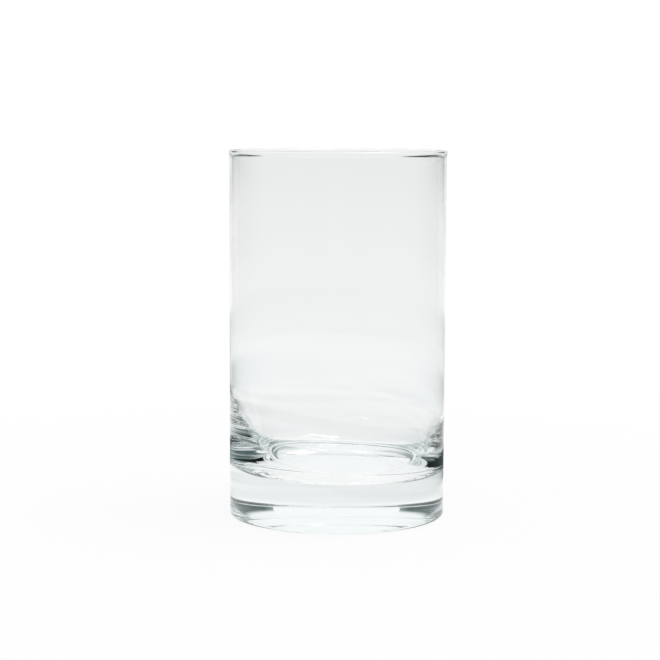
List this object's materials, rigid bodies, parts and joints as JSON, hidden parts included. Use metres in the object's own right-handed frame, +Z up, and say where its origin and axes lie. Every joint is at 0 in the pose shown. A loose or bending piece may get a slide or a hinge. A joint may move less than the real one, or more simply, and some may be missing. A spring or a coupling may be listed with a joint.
{
  "type": "highball glass",
  "caption": "Straight-sided clear highball glass with a beaded rim, thin wall and heavy solid base with a rounded inner corner, standing on a flat foot ring.",
  "frame": {"origin": "centre of the circle that the foot ring stands on, at table level", "axes": "+Z up along the glass's axis from foot to rim; X and Y are any two directions across it"},
  "size_m": [0.0658, 0.0658, 0.1102],
  "materials": {
    "clear_glass": "fire-polished clear soda-lime glass, faint green-grey tint through the thick base"
  },
  "bodies": {
    "root": {"tumbler": "clear_glass"}
  },
  "joints": []
}
